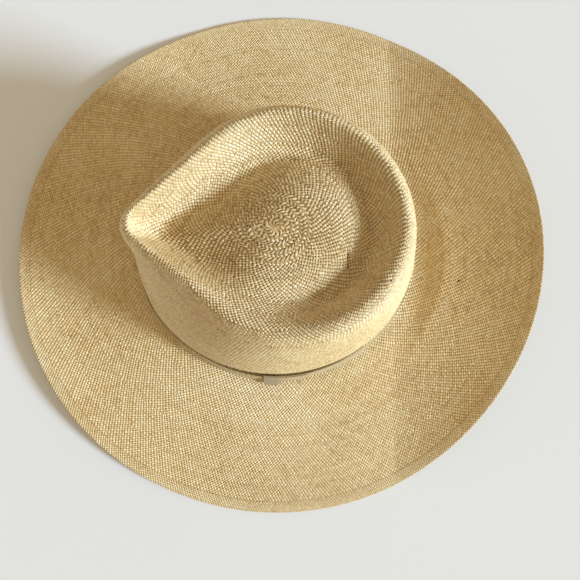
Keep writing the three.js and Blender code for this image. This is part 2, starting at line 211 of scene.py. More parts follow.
def brim_plan(angle, distance):
    """Plan position, and lift, at a distance out from the crown wall, square to that wall."""
    radius = ellipse_radius(angle)
    x, y = radius * np.cos(angle), radius * np.sin(angle)
    out = np.stack([x / HALF_WIDTH**2, y / HALF_LENGTH**2])
    out = out / np.hypot(*out)
    t = np.clip(distance / brim_width(angle), 0, 1)
    x = x + out[0] * distance
    y = y + out[1] * distance + BRIM_SHIFT_BACK * t
    behind = np.clip((y - BRIM_FOLD) / BRIM_FOLD_REACH, 0, 1)
    front = smoothstep(BRIM_FLAT, 1, -np.sin(angle))
    turn_up = BRIM_LIFT_BACK * behind**BRIM_FOLD_CURVE * smoothstep(0, BRIM_FOLD_START, t)
    lift = turn_up + BRIM_LIFT_FRONT * front * t**1.5
    draw = BRIM_FOLD_DRAW * turn_up
    return AXIS[0] + x - out[0] * draw, AXIS[1] + y - out[1] * draw, lift


def brim_height(angle, distance):
    t = np.clip(distance / (brim_width(angle) - EDGE_WIDTH), 0, 1)
    fall = 0.5 * t + 0.5 * smoothstep(0, 1, t)
    return lerp(BRIM_ROOT, BRIM_EDGE_HEIGHT, fall) + brim_plan(angle, distance)[2]


def brim_surface(angle, t):
    """Points of the brim's upper face, t from 0 at the head line to 1 at the edge band."""
    bend = np.clip(t / BRIM_BREAK_SHARE, 0, 1) * math.pi / 2
    spread = np.clip((t - BRIM_BREAK_SHARE) / (1 - BRIM_BREAK_SHARE), 0, 1)
    reach = brim_width(angle) - EDGE_WIDTH + JOIN
    in_break = t < BRIM_BREAK_SHARE
    distance = np.where(
        in_break, BRIM_BREAK * (1 - np.cos(bend)), lerp(BRIM_BREAK, reach, spread)
    )
    top = HEAD_LINE + JOIN
    drop = (top - brim_height(angle, BRIM_BREAK)) * np.sin(bend)
    height = np.where(in_break, top - drop, brim_height(angle, distance))
    x, y, _ = brim_plan(angle, distance)
    return np.stack([x, y, height], axis=-1)


# ---------------------------------------------------------------- woven straw as a mesh

FLOAT_REACH = 0.13                           # how far a float passes the middle of its gap
TWIST = -0.3                                 # lean of the weave's columns, from the radius
TWILL_RADIUS = 27 * MM                       # the longer floats end here
WOBBLE = 0.2                                 # how much the crossings differ in height
ROWS = 4                                     # rows of vertices to one crossing
UNEVEN = RANDOM.normal(0, 0.1, (2, 1024))    # how far each strand strays, in strands


def linked(name, mesh):
    """A mesh, light or camera as an object in the scene."""
    piece = bpy.data.objects.new(name, mesh)
    bpy.context.scene.collection.objects.link(piece)
    return piece


class MeshBuilder:
    """Rings of vertices joined by strips, with a weave coordinate on every corner."""

    def __init__(self):
        self.points, self.triangles, self.coordinates, self.slots = [], [], [], []
        self.count = 0
        self.slot = 0

    def ring(self, angles, points, row):
        ring = {"first": self.count, "angles": angles, "row": row}
        self.points.append(points)
        self.count += len(points)
        return ring

    def strip(self, inner, outer, strands):
        """Joins two rings, whatever the number of vertices in each."""
        a, b = inner["angles"], outer["angles"]
        events = np.concatenate([a[1:], a[:1] + TURN, b[1:], b[:1] + TURN])
        order = np.argsort(events, kind="stable")
        on_inner = order < len(a)
        i = np.cumsum(on_inner) - on_inner
        j = np.cumsum(~on_inner) - ~on_inner
        vertex = [
            inner["first"] + i % len(a),
            outer["first"] + j % len(b),
            np.where(
                on_inner, inner["first"] + (i + 1) % len(a), outer["first"] + (j + 1) % len(b)
            ),
        ]
        uv = [
            self.coordinate(inner, i, strands),
            self.coordinate(outer, j, strands),
            np.where(
                on_inner[:, None],
                self.coordinate(inner, i + 1, strands),
                self.coordinate(outer, j + 1, strands),
            ),
        ]
        self.triangles.append(np.stack(vertex, axis=-1))
        self.coordinates.append(np.stack(uv, axis=1))
        self.slots.append(np.full(len(vertex[0]), self.slot))

    @staticmethod
    def coordinate(ring, index, strands):
        count = len(ring["angles"])
        angle = ring["angles"][index % count] + TURN * (index // count)
        along = strands * angle / TURN
        return np.stack([along + ring["row"], along - ring["row"]], axis=-1)

    def pole(self, ring, point, strands):
        """Closes the surface with a fan from one point to a ring, before the ring."""
        centre = self.count
        self.points.append(np.array([point]))
        self.count += 1
        count = len(ring["angles"])
        i = np.arange(count)
        vertex = [np.full(count, centre), ring["first"] + i, ring["first"] + (i + 1) % count]
        here = self.coordinate(ring, i, strands)
        ahead = self.coordinate(ring, i + 1, strands)
        self.triangles.append(np.stack(vertex, axis=-1))
        self.coordinates.append(np.stack([(here + ahead) / 2, here, ahead], axis=1))
        self.slots.append(np.full(count, self.slot))

    def flip_last(self):
        self.triangles[-1] = self.triangles[-1][:, ::-1]
        self.coordinates[-1] = self.coordinates[-1][:, ::-1]

    def build(self, name):
        points = np.concatenate(self.points)
        triangles = np.concatenate(self.triangles)
        coordinates = np.concatenate(self.coordinates)
        mesh = bpy.data.meshes.new(name)
        mesh.vertices.add(len(points))
        mesh.vertices.foreach_set("co", points.ravel())
        mesh.loops.add(triangles.size)
        mesh.loops.foreach_set("vertex_index", triangles.ravel().astype(np.int32))
        mesh.polygons.add(len(triangles))
        mesh.polygons.foreach_set("loop_start", np.arange(0, triangles.size, 3, dtype=np.int32))
        mesh.update(calc_edges=True)
        layer = mesh.uv_layers.new(name="weave")
        layer.data.foreach_set("uv", coordinates.reshape(-1, 2).astype(np.float32).ravel())
        mesh.polygons.foreach_set("use_smooth", np.ones(len(triangles), dtype=bool))
        mesh.polygons.foreach_set("material_index", np.concatenate(self.slots).astype(np.int32))
        return linked(name, mesh)


def surface_normal(surface, angle, t):
    step = 1e-4
    ahead = np.minimum(t + step, 1)
    behind = np.maximum(t - step, 0)
    along = surface(angle, ahead) - surface(angle, behind)
    around = surface(angle + step, t) - surface(angle - step, t)
    normal = np.cross(along, around)
    return normal / np.maximum(np.linalg.norm(normal, axis=-1, keepdims=True), 1e-12)


def evened(surface, around=181, down=241):
    """The same surface, told again so that its rows and its strands lie evenly over it."""
    angles = np.linspace(0, TURN, around)
    shares = np.linspace(0, 1, down)
    grid = np.array([surface(angles, np.full(around, t)) for t in shares])
    run = np.cumsum(np.linalg.norm(np.diff(grid, axis=0, prepend=grid[:1]), axis=-1), axis=0)
    rows = np.stack([np.interp(shares, r / r[-1], shares) for r in run.T], axis=1)
    grid = np.array([surface(angles, row) for row in rows])
    step = np.linalg.norm(np.diff(grid, axis=1, prepend=grid[:, :1]), axis=-1)
    run = np.cumsum(step, axis=1)[1:]
    turns = np.stack([np.interp(angles, TURN * r / r[-1], angles) - angles for r in run])
    turns = np.concatenate([turns[:1], turns])

    def look_up(table, angle, share):
        column = np.mod(angle, TURN) / TURN * (around - 1)
        row = np.clip(share, 0, 1) * (down - 1)
        i, j = np.minimum(row.astype(int), down - 2), np.minimum(column.astype(int), around - 2)
        u, v = row - i, column - j
        above = lerp(table[i, j], table[i, j + 1], v)
        return lerp(above, lerp(table[i + 1, j], table[i + 1, j + 1], v), u)

    def even_surface(angle, share):
        turned = angle + look_up(turns, angle, share)
        return surface(turned, look_up(rows, turned, share))

    return even_surface


def ring_plan(surface, first_radius, pitch_at):
    """Splits a surface into rings of whole crossings: strands, start, end and rows of each."""
    samples = np.linspace(0, 1, 1501)
    around = np.linspace(0, TURN, 97)[:-1]
    grid = np.array([surface(around, np.full(len(around), t)) for t in samples])
    rho = np.linalg.norm(np.roll(grid, 1, axis=1) - grid, axis=-1).sum(axis=1) / TURN
    first = np.argmax(rho > first_radius)
    samples, grid, rho = samples[first:], grid[first:], rho[first:]
    length = np.linalg.norm(np.diff(grid, axis=0), axis=-1).mean(axis=1)
    reach = np.concatenate([[0], np.cumsum(length / ((rho[1:] + rho[:-1]) / 2))])
    wanted = TURN * rho * math.cos(math.pi / 4) / pitch_at(rho)
    end = reach[-1]
    rings, start = [], 0.0
    while start < end - 1e-9:
        strands = int(round(np.interp(start, reach, wanted) * 1.05))
        rows = ROWS
        stop = start + TURN / strands
        while stop < end and np.interp(stop, reach, wanted) <= 1.1 * strands:
            rows += ROWS
            stop = start + TURN / strands * rows / ROWS
        if stop > end:
            rows = max(ROWS, ROWS * round((end - start) / (TURN / strands)))
            stop = end
        rings.append((strands, start, stop, rows))
        start = stop
    return rings, reach, samples, rho


def weave(name, surface, first_radius, pitch_at, relief_at, closed_centre=False, thickness=STRAW):
    """A woven sheet over a surface given by angle and t.

    Two families of strands cross at 45 degrees to the radius. Their number rises in rings, so
    that the weave stays about as fine outside as inside. Each crossing has one raised vertex,
    its two float ends and a low corner. The centre, inside TWILL_RADIUS, has longer floats.
    """
    rings, reach, samples, rho = ring_plan(surface, first_radius, pitch_at)
    end = reach[-1]
    builder = MeshBuilder()
    below = []
    previous = None
    first_row = 0
    for strands, start, stop, rows in rings:
        last_ring = stop > end - 1e-9
        for m in range(rows + 1 if last_ring else rows):
            row = first_row + m / ROWS
            u = np.arange(2 * strands) / 2 + (m % 2) / 4
            q = lerp(start, stop, m / rows)
            radius = np.interp(q, reach, rho)
            builder.slot = int(radius < TWILL_RADIUS)
            shift_a, shift_b, height = crossing_relief(u + row, u - row, builder.slot)
            shift_a = shift_a + stray(UNEVEN[0], u + row, strands)
            shift_b = shift_b + stray(UNEVEN[1], u - row, strands)
            angles = TURN * u / strands
            inside = 1e-9 < q < end - 1e-9
            moved = angles + TURN / strands * (shift_a + shift_b) / 2 * inside
            q_moved = q + (stop - start) * ROWS / rows * (shift_a - shift_b) / 2 * inside
            t = np.interp(q_moved, reach, samples)
            wobble = 1 + WOBBLE * RANDOM.standard_normal(len(u))
            lift = height * wobble * relief_at(radius)
            turned = moved + TWIST * q
            points = surface(turned, t) + surface_normal(surface, turned, t) * lift[:, None]
            ring = builder.ring(angles, points, row)
            if previous is None:
                first = ring
            else:
                builder.strip(previous, ring, previous_strands if m == 0 else strands)
            previous, previous_strands = ring, strands
            if m % ROWS == 0:
                below.append((strands, q, row))
        first_row += rows // ROWS

    # the lower face, one vertex to a crossing, from the outer edge back to the centre
    for strands, q, row in reversed(below):
        builder.slot = int(np.interp(q, reach, rho) < TWILL_RADIUS)
        angles = TURN * np.arange(strands) / strands
        t = np.full(strands, np.interp(q, reach, samples))
        turned = angles + TWIST * q
        points = surface(turned, t) - surface_normal(surface, turned, t) * thickness
        ring = builder.ring(angles, points, row)
        builder.strip(previous, ring, strands)
        previous = ring
    if closed_centre:
        centre = surface(np.zeros(1), np.zeros(1))[0]
        builder.pole(first, centre, rings[0][0])
        builder.pole(previous, centre - np.array([0, 0, thickness]), rings[0][0])
        builder.flip_last()
    else:
        builder.strip(previous, first, rings[0][0])
    return builder.build(name)


def stray(table, strand, strands):
    """How far to the side the strands run at a place given in strands."""
    below = np.floor(strand).astype(int)
    return lerp(table[below % strands], table[(below + 1) % strands], strand - below)


def crossing_relief(a, b, twill):
    """For vertices at half steps of the weave: their sideways shifts and their height."""
    whole_a = np.abs(a - np.round(a)) < 0.1
    whole_b = np.abs(b - np.round(b)) < 0.1
    on_a, on_b = whole_a & ~whole_b, whole_b & ~whole_a

    def a_is_over(i, j):
        return np.mod(i - j, 4) < 1.5 if twill else np.mod(i + j, 2) < 0.5

    # between two crossings along one strand: over at the nearer one, at the farther one
    near_a, far_a = a_is_over(np.round(a), np.floor(b)), a_is_over(np.round(a), np.floor(b) + 1)
    near_b, far_b = ~a_is_over(np.floor(a), np.round(b)), ~a_is_over(np.floor(a) + 1, np.round(b))
    shift_b = np.where(on_a & (near_a != far_a), np.where(near_a, FLOAT_REACH, -FLOAT_REACH), 0.0)
    shift_a = np.where(on_b & (near_b != far_b), np.where(near_b, FLOAT_REACH, -FLOAT_REACH), 0.0)
    overs = np.where(on_a, near_a.astype(int) + far_a, near_b.astype(int) + far_b)
    between = np.choose(overs, [-0.8, 0.05, 1.1])
    height = np.where(whole_a & whole_b, 1.0, np.where(on_a | on_b, between, -1.0))
    return shift_a, shift_b, height


# ---------------------------------------------------------------- plain bands as meshes

def grid_piece(name, points, close_rows=True, close_columns=True):
    """A mesh over a grid of points, its coordinates in metres along and across it.

    Rows are cross sections. Open rows are closed off by a flat face at each end.
    """
    rows, columns = points.shape[:2]
    mesh = bpy.data.meshes.new(name)
    i = np.arange(rows if close_rows else rows - 1)[:, None]
    j = np.arange(columns if close_columns else columns - 1)[None, :]
    i2, j2 = (i + 1) % rows, (j + 1) % columns
    quads = np.stack(np.broadcast_arrays(
        i * columns + j, i * columns + j2, i2 * columns + j2, i2 * columns + j
    ), axis=-1).reshape(-1, 4)
    faces = quads.tolist()
    if not close_rows:
        faces.append(list(range(columns))[::-1])
        faces.append([(rows - 1) * columns + k for k in range(columns)])
    mesh.from_pydata(points.reshape(-1, 3).tolist(), [], faces)
    run = np.linalg.norm(np.diff(points, axis=0, append=points[:1]), axis=-1).mean(axis=1)
    across = np.linalg.norm(np.diff(points, axis=1, append=points[:, :1]), axis=-1).mean(axis=0)
    run = np.concatenate([[0], np.cumsum(run)])
    across = np.concatenate([[0], np.cumsum(across)])
    layer = mesh.uv_layers.new(name="weave")
    i, j = np.broadcast_arrays(i, j)
    corners = np.stack([
        np.stack([run[i], across[j]], axis=-1),
        np.stack([run[i], across[j + 1]], axis=-1),
        np.stack([run[i + 1], across[j + 1]], axis=-1),
        np.stack([run[i + 1], across[j]], axis=-1),
    ], axis=2).reshape(-1, 2)
    flat = np.zeros((len(mesh.loops), 2))
    flat[: len(corners)] = corners
    layer.data.foreach_set("uv", flat.astype(np.float32).ravel())
    mesh.polygons.foreach_set("use_smooth", np.ones(len(mesh.polygons), dtype=bool))
    face_outwards(mesh)
    return linked(name, mesh)


def face_outwards(mesh):
    shape = bmesh.new()
    shape.from_mesh(mesh)
    bmesh.ops.recalc_face_normals(shape, faces=shape.faces)
    shape.to_mesh(mesh)
    shape.free()


def sharpen(piece, angle=40):
    """Keeps the corners of a thin band crisp while its long faces stay smooth."""
    bpy.context.view_layer.objects.active = piece
    piece.select_set(True)
    bpy.ops.object.shade_smooth_by_angle(angle=math.radians(angle))
    piece.select_set(False)


# ---------------------------------------------------------------- materials

class Nodes:
    """Short names for building a node tree."""

    def __init__(self, name):
        self.material = bpy.data.materials.new(name)
        self.material.use_nodes = True
        self.tree = self.material.node_tree
        self.shader = self.tree.nodes["Principled BSDF"]

    def add(self, kind, **settings):
        node = self.tree.nodes.new(kind)
        for key, value in settings.items():
            setattr(node, key, value)
        return node

    def plug(self, value, socket):
        if isinstance(value, bpy.types.NodeSocket):
            self.tree.links.new(value, socket)
        else:
            socket.default_value = value

    def math(self, operation, a, b=0.0, c=0.0, clamp=False):
        node = self.add("ShaderNodeMath", operation=operation, use_clamp=clamp)
        for value, socket in zip((a, b, c), node.inputs):
            self.plug(value, socket)
        return node.outputs[0]

    def total(self, *parts, start=0.0):
        """Adds up values, each times its weight."""
        for value, weight in parts:
            start = self.math("MULTIPLY_ADD", value, weight, start)
        return start

    def centred(self, value):
        return self.math("SUBTRACT", value, 0.5)

    def vector(self, x, y=0.0, z=0.0):
        node = self.add("ShaderNodeCombineXYZ")
        for value, socket in zip((x, y, z), node.inputs):
            self.plug(value, socket)
        return node.outputs[0]

    def noise(self, vector, scale, detail=2.0, roughness=0.5):
        node = self.add("ShaderNodeTexNoise")
        self.plug(vector, node.inputs["Vector"])
        node.inputs["Scale"].default_value = scale
        node.inputs["Detail"].default_value = detail
        node.inputs["Roughness"].default_value = roughness
        return node.outputs["Fac"]

    def random(self, value):
        node = self.add("ShaderNodeTexWhiteNoise", noise_dimensions="1D")
        self.plug(value, node.inputs["W"])
        return node.outputs["Value"]

    def pick(self, mask, when_off, when_on):
        node = self.add("ShaderNodeMix", data_type="FLOAT")
        self.plug(mask, node.inputs[0])
        self.plug(when_off, node.inputs[2])
        self.plug(when_on, node.inputs[3])
        return node.outputs[0]

    def blend(self, mask, when_off, when_on, mode="MIX"):
        node = self.add("ShaderNodeMix", data_type="RGBA", blend_type=mode)
        self.plug(mask, node.inputs[0])
        self.plug(when_off, node.inputs[6])
        self.plug(when_on, node.inputs[7])
        return node.outputs[2]

    def ramp(self, value, stops):
        node = self.add("ShaderNodeValToRGB")
        self.plug(value, node.inputs[0])
        elements = node.color_ramp.elements
        while len(elements) < len(stops):
            elements.new(0.5)
        for element, (position, color) in zip(elements, stops):
            element.position = position
            element.color = color if len(color) == 4 else (*color, 1)
        return node.outputs[0]

    def bump(self, height, distance, strength=1.0):
        node = self.add("ShaderNodeBump")
        node.inputs["Strength"].default_value = strength
        node.inputs["Distance"].default_value = distance
        self.plug(height, node.inputs["Height"])
        self.plug(node.outputs[0], self.shader.inputs["Normal"])

    def weave_coordinates(self):
        uv = self.add("ShaderNodeUVMap", uv_map="weave")
        split = self.add("ShaderNodeSeparateXYZ")
        self.plug(uv.outputs[0], split.inputs[0])
        return split.outputs[0], split.outputs[1]

    def place(self):
        return self.add("ShaderNodeTexCoord").outputs["Object"]

    def finish(self, color, roughness, specular=0.5, sheen=0.0):
        self.plug(color, self.shader.inputs["Base Color"])
        self.plug(roughness, self.shader.inputs["Roughness"])
        self.shader.inputs["Specular IOR Level"].default_value = specular
        if sheen:
            self.shader.inputs["Sheen Weight"].default_value = sheen
            self.shader.inputs["Sheen Roughness"].default_value = 0.5
        return self.material


def linear(red, green, blue):
    """A colour given as it looks on screen, 0 to 255, as the linear values that nodes hold."""
    return tuple(
        c / 255 / 12.92 if c / 255 <= 0.04045 else ((c / 255 + 0.055) / 1.055) ** 2.4
        for c in (red, green, blue)
    )


STRAW_PALE = linear(253, 236, 194)
STRAW_MID = linear(240, 208, 148)
STRAW_DEEP = linear(196, 157, 94)
# painted shade: the dark brown that the weave's gaps are mixed towards
STRAW_GAP_SHADE = linear(70, 44, 16)
SPECK_COLOR = linear(52, 40, 28)
SPECK_PLACE = (21.6 * MM, 133.2 * MM, 22.2 * MM)
SPECK_RADIUS = 0.9 * MM


def straw_material(name, gap_shade_reach, gloss, twill=False, speck=None):
    """Plaited split palm: each strand has its own tone, a round back and fine fibres. The gaps
    between strands get painted shade.
    """
    n = Nodes(name)
    a, b = n.weave_coordinates()
    strand_a, strand_b = n.math("ROUND", a), n.math("ROUND", b)
    across_a, across_b = n.math("SUBTRACT", a, strand_a), n.math("SUBTRACT", b, strand_b)

    def back(along, strand, across, start):
        """Height of a strand's back: up and down along it, and round across it."""
        if twill:
            phase = n.math("ADD", n.math("SUBTRACT", along, strand), 0.5 if start else -2.5)
            wave = n.math("COSINE", n.math("MULTIPLY", phase, math.pi / 2))
        else:
            phase = n.math("ADD", n.math("ADD", along, strand), 0.0 if start else 1.0)
            wave = n.math("COSINE", n.math("MULTIPLY", phase, math.pi))
        return n.math("MULTIPLY_ADD", n.math("MULTIPLY", across, across), -4.0, wave)

    height_a, height_b = back(b, strand_a, across_a, True), back(a, strand_b, across_b, False)
    a_on_top = n.math("GREATER_THAN", height_a, height_b)
    height = n.math("MAXIMUM", height_a, height_b)
    strand = n.pick(a_on_top, n.math("ADD", strand_b, 0.37), strand_a)
    across = n.pick(a_on_top, across_b, across_a)
    along = n.pick(a_on_top, a, b)
    tone = n.random(strand)
    float_tone = n.random(n.math("MULTIPLY_ADD", strand_a, 57.3, strand_b))
    drift = n.noise(n.vector(n.math("MULTIPLY", strand, 3.7), n.math("MULTIPLY", along, 0.12)), 1.0)
    fibre = n.noise(
        n.vector(n.math("MULTIPLY_ADD", across, 7.0, strand), n.math("MULTIPLY", along, 0.5)),
        1.6,
        detail=4.0,
        roughness=0.65,
    )
    cloud = n.noise(n.place(), 14.0, detail=4.0)
    row = n.vector(n.math("MULTIPLY", n.math("SUBTRACT", a, b), 0.3))
    band = n.noise(row, 1.0, detail=1.0)
    mixed = n.total(
        (tone, 0.12), (float_tone, 0.22), (drift, 0.25), (fibre, 0.41),
        (n.centred(cloud), 0.45), (n.centred(band), 0.3),
    )
    color = n.ramp(mixed, [(0.2, STRAW_DEEP), (0.5, STRAW_MID), (0.8, STRAW_PALE)])
    # painted shade: the lower a place lies in the weave, between and under the strands, the more it
    # is darkened towards the gap colour
    depth = n.add("ShaderNodeMapRange", interpolation_type="SMOOTHSTEP")
    n.plug(height, depth.inputs["Value"])
    depth.inputs["From Min"].default_value = -0.85
    depth.inputs["From Max"].default_value = gap_shade_reach
    color = n.blend(depth.outputs[0], (*STRAW_GAP_SHADE, 1), color)
    if speck:
        away = n.add("ShaderNodeVectorMath", operation="DISTANCE")
        n.plug(n.place(), away.inputs[0])
        n.plug(speck, away.inputs[1])
        near = n.math("LESS_THAN", away.outputs["Value"], SPECK_RADIUS)
        color = n.blend(near, color, (*SPECK_COLOR, 1))
    roughness = n.math("MULTIPLY_ADD", fibre, 0.25, 0.33)
    n.bump(n.math("MULTIPLY_ADD", fibre, 0.35, height), 0.35 * MM, 1.0)
    n.shader.inputs["IOR"].default_value = gloss
    return n.finish(color, roughness, specular=0.9)


# the crown's straw has painted gap shade reaching further up its strands than the brim's, so the
# crown comes out darker as if in deeper shade
crown_straw = straw_material("crown_straw", 0.6, 1.6)
centre_straw = straw_material("centre_straw", 0.6, 1.6, twill=True)
brim_straw = straw_material("brim_straw", 0.28, 1.5, speck=SPECK_PLACE)

# ---------------------------------------------------------------- crown and brim

def crown_pitch(rho):
    return lerp(1.85 * MM, 1.7 * MM, smoothstep(56 * MM, 84 * MM, rho))


def crown_relief(rho):
    return lerp(0.88 * MM, 0.62 * MM, smoothstep(60 * MM, 125 * MM, rho))


def brim_pitch(rho):
    return lerp(1.8 * MM, 1.7 * MM, smoothstep(95 * MM, 180 * MM, rho))


def steady(value):
    """The same pitch or relief everywhere."""
    return lambda rho: value


def attach(piece, node, material, body="hat"):
    piece.data.materials.append(material)
    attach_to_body(piece, body)
    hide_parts(node)
    return piece


def hem_surface(angle, t):
    """The edge band: out over its upper face, round the rim and back underneath."""
    width = brim_width(angle)
    inner, rim = width - EDGE_WIDTH + 0.2 * MM, width - HEM_RADIUS - 0.1 * MM
    turn = np.clip((t - HEM_ROLL[0]) / (HEM_ROLL[1] - HEM_ROLL[0]), 0, 1) * math.pi
    distance = np.where(
        t < HEM_ROLL[0],
        lerp(inner, rim, t / HEM_ROLL[0]),
        np.where(
            t < HEM_ROLL[1],
            rim + HEM_RADIUS * np.sin(turn),
            lerp(rim, inner, (t - HEM_ROLL[1]) / (1 - HEM_ROLL[1])),
        ),
    )
    x, y, lift = brim_plan(angle, distance)
    return np.stack([x, y, lift + HEM_MIDDLE + HEM_RADIUS * np.cos(turn)], axis=-1)


crown = weave(
    "crown_weave", evened(crown_surface), 4 * MM, crown_pitch, crown_relief, closed_centre=True
)
attach(crown, "crown", crown_straw)
crown.data.materials.append(centre_straw)
brim = weave("brim_weave", brim_surface, 0, brim_pitch, steady(0.36 * MM))
attach(brim, "brim", brim_straw)
hem = weave(
    "brim_hem", hem_surface, 0, steady(1.5 * MM), steady(0.12 * MM), thickness=0.6 * MM
)
attach(hem, "brim_edge", brim_straw)

# ---------------------------------------------------------------- the hatband

RIBBON_TURNS = 1.05                          # its ends overlap inside the keeper
RIBBON_THICKNESS = 0.45 * MM
RIBBON_CLEARANCE = 1.35 * MM
RIBBON_STEP = 0.75 * MM                      # the outer end lies over the inner one
RIBBON_WIDTH = 11 * MM
KEEPER_WIDTH = 10 * MM
KEEPER_ANGLE = math.radians(-2)
KEEPER_MIDDLE = 0.65 * MM                    # from the ribbon's inner face
KEEPER_HALF_DEPTH = 0.95 * MM
KEEPER_HALF_HEIGHT = 0.54                    # in widths of the ribbon
KEEPER_LEAN = 2.4 * MM


def ribbon_point(angle, share, outward):
    """A point of the hatband: share runs up its width, and outward is off its inner face.

    On the wearer's left it stands off the crown and leans out onto the turn of the brim.
    """
    left = np.clip(np.cos(angle), 0, 1) ** 1.5
    low, high = ribbon_low[2] - 1.2 * MM * left, ribbon_high[2] - 1.4 * MM * left
    ripple = 0.15 * MM * np.sin(5 * angle + 1) + 0.1 * MM * np.sin(11 * angle)
    lean = (0.3 * MM + 1.7 * MM * left) * np.clip(1 - share, 0, 2) ** 1.3
    offset = RIBBON_CLEARANCE + 0.8 * MM * left + lean + ripple + outward
    radius = ellipse_radius(angle) + offset
    height = lerp(low, high, share)
    return np.stack(np.broadcast_arrays(
        AXIS[0] + radius * np.cos(angle), AXIS[1] + radius * np.sin(angle), height
    ), axis=-1)


def strip(angles, shares, inside, outside):
    """Cross sections of a strip of ribbon that follows the hatband."""
    inner = [ribbon_point(angles, share, inside) for share in shares]
    outer = [ribbon_point(angles, share, outside) for share in shares[::-1]]
    return np.stack(inner + outer, axis=1)


def ribbon_piece():
    start = KEEPER_ANGLE - 0.03
    sweep = np.linspace(start, start + TURN * RIBBON_TURNS, 420)
    progress = (sweep - start) / (TURN * RIBBON_TURNS)
    step_out = RIBBON_STEP * smoothstep(0.9, 0.95, progress)
    shares = np.linspace(0, 1, 8)
    return grid_piece(
        "hatband_strip",
        strip(sweep, shares, step_out, step_out + RIBBON_THICKNESS),
        close_rows=False,
    )


def keeper_piece():
    """A short loop of ribbon round the hatband's overlap."""
    half = KEEPER_WIDTH / 2 / (ellipse_radius(KEEPER_ANGLE) + 3 * MM)
    angles = np.linspace(KEEPER_ANGLE - half, KEEPER_ANGLE + half, 12)
    turn = np.linspace(0, TURN, 41)[:-1]
    roundness = 2 / 3.2

    def loop(extra):
        cosine, sine = np.cos(turn), np.sin(turn)
        depth, half_height = KEEPER_HALF_DEPTH + extra, KEEPER_HALF_HEIGHT + extra / RIBBON_WIDTH
        outward = KEEPER_MIDDLE + depth * np.sign(cosine) * np.abs(cosine) ** roundness
        share = 0.5 + half_height * np.sign(sine) * np.abs(sine) ** roundness
        outward = outward + KEEPER_LEAN * np.clip(1 - share, 0, 1) * smoothstep(0, 0.4, cosine)
        return np.stack([ribbon_point(angles, s, o) for s, o in zip(share, outward)])

    inner, outer = loop(0.0), loop(RIBBON_THICKNESS)
    # the section runs across the keeper's width, outer face then inner face
    section = np.concatenate([outer, inner[:, ::-1]], axis=1)
    return grid_piece("keeper_loop", section)


def cloth_material(name, pale, deep, ribs, roughness=0.75, sheen=0.35, bump=0.12 * MM):
    """Ribbon or tape: fine ribs across its width and threads along it."""
    n = Nodes(name)
    along, across = n.weave_coordinates()
    rib = n.math("SINE", n.math("MULTIPLY", along, TURN / ribs))
    thread = n.math("SINE", n.math("MULTIPLY", across, TURN / (ribs * 0.6)))
    height = n.math("MULTIPLY_ADD", thread, 0.35, rib)
    fuzz = n.noise(n.place(), 1500, detail=3.0)
    cloud = n.noise(n.place(), 60, detail=3.0)
    mixed = n.total((height, 0.14), (fuzz, 0.3), (cloud, 0.3), start=0.28)
    color = n.ramp(mixed, [(0.25, deep), (0.85, pale)])
    n.bump(n.math("MULTIPLY_ADD", fuzz, 0.8, height), bump, 0.7)
    return n.finish(color, roughness, specular=0.3, sheen=sheen)


ribbon_cloth = cloth_material(
    "ribbon", linear(214, 192, 146), linear(172, 145, 98), 0.9 * MM, sheen=0.1
)
keeper_cloth = cloth_material(
    "keeper", linear(184, 163, 130), linear(146, 126, 94), 0.9 * MM, sheen=0.1
)

ribbon = attach(ribbon_piece(), "hatband_ribbon", ribbon_cloth, "hatband")
sharpen(ribbon)
keeper = attach(keeper_piece(), "hatband_keeper", keeper_cloth, "hatband")
sharpen(keeper)

# ---------------------------------------------------------------- inside the crown

LINING_CLEARANCE = 2.0 * MM                  # the sweatband's outer face, from the crown's
LEATHER = 1.1 * MM
SWEAT_TOP = sweat_high[2]
SWEAT_FOOT = sweat_low[2]
TRIM_OFFSET = LINING_CLEARANCE + LEATHER
ROD_RADIUS = 0.9 * MM
WELT_BORE = 1.25 * MM
WELT_CLOTH = 0.6 * MM
STITCH_HEIGHT = 15.3 * MM
STITCH_PITCH = 4.2 * MM
STITCH_LENGTH = 3.1 * MM
STITCH_DIP = 0.35 * MM                       # into the leather at each end of a stitch
STITCH_SLANT = 0.12 * MM
STITCH_STAND = 0.3 * MM                      # off the leather in its middle
THREAD = 0.6 * MM


def wall_radius(angle, height):
    """Radius of the crown's outer face at a height near its foot."""
    t = np.linspace(0.6, 1, 80)
    wanted = np.broadcast_to(height, angle.shape)
    result = np.empty_like(angle)
    for k, (a, h) in enumerate(zip(angle, wanted)):
        face = crown_surface(np.full(80, a), t)
        radius = np.hypot(face[:, 0] - AXIS[0], face[:, 1] - AXIS[1])
        result[k] = np.interp(-h, -face[:, 2], radius)
    return result


def lining_points(angles, offset, height):
    radius = wall_radius(angles, np.maximum(height, HEAD_LINE)) - offset
    return np.stack([
        AXIS[0] + radius * np.cos(angles),
        AXIS[1] + radius * np.sin(angles),
        np.broadcast_to(height, angles.shape),
    ], axis=-1)


def lining_band(name, angles, near, far, low, high, rows=10, closed=True, bulge=0.0):
    """A band against the crown's inside, from offset near to offset far and low to high."""
    heights = np.linspace(low, high, rows)
    share = (heights - low) / (high - low)
    # both faces come together a little at the skived edges
    taper = (far - near) * 0.3 * np.clip(np.abs(2 * share - 1) * 8 - 7, 0, 1)
    belly = bulge * np.sin(share * math.pi)
    outer = [lining_points(angles, near + s, h) for h, s in zip(heights, taper)]
    inner = [lining_points(angles, far - s + c, h) for h, s, c in zip(heights, taper, belly)]
    return grid_piece(name, np.stack(outer[::-1] + inner, axis=1), close_rows=closed)


def tube_ring(name, offset, height, radius, sides, segments=360):
    """A round ring inside the crown's foot."""
    angles = np.linspace(0, TURN, segments, endpoint=False)
    turn = np.linspace(0, TURN, sides, endpoint=False)
    points = [
        lining_points(angles, offset + radius * math.cos(k), height - radius * math.sin(k))
        for k in turn
    ]
    return grid_piece(name, np.stack(points, axis=1))


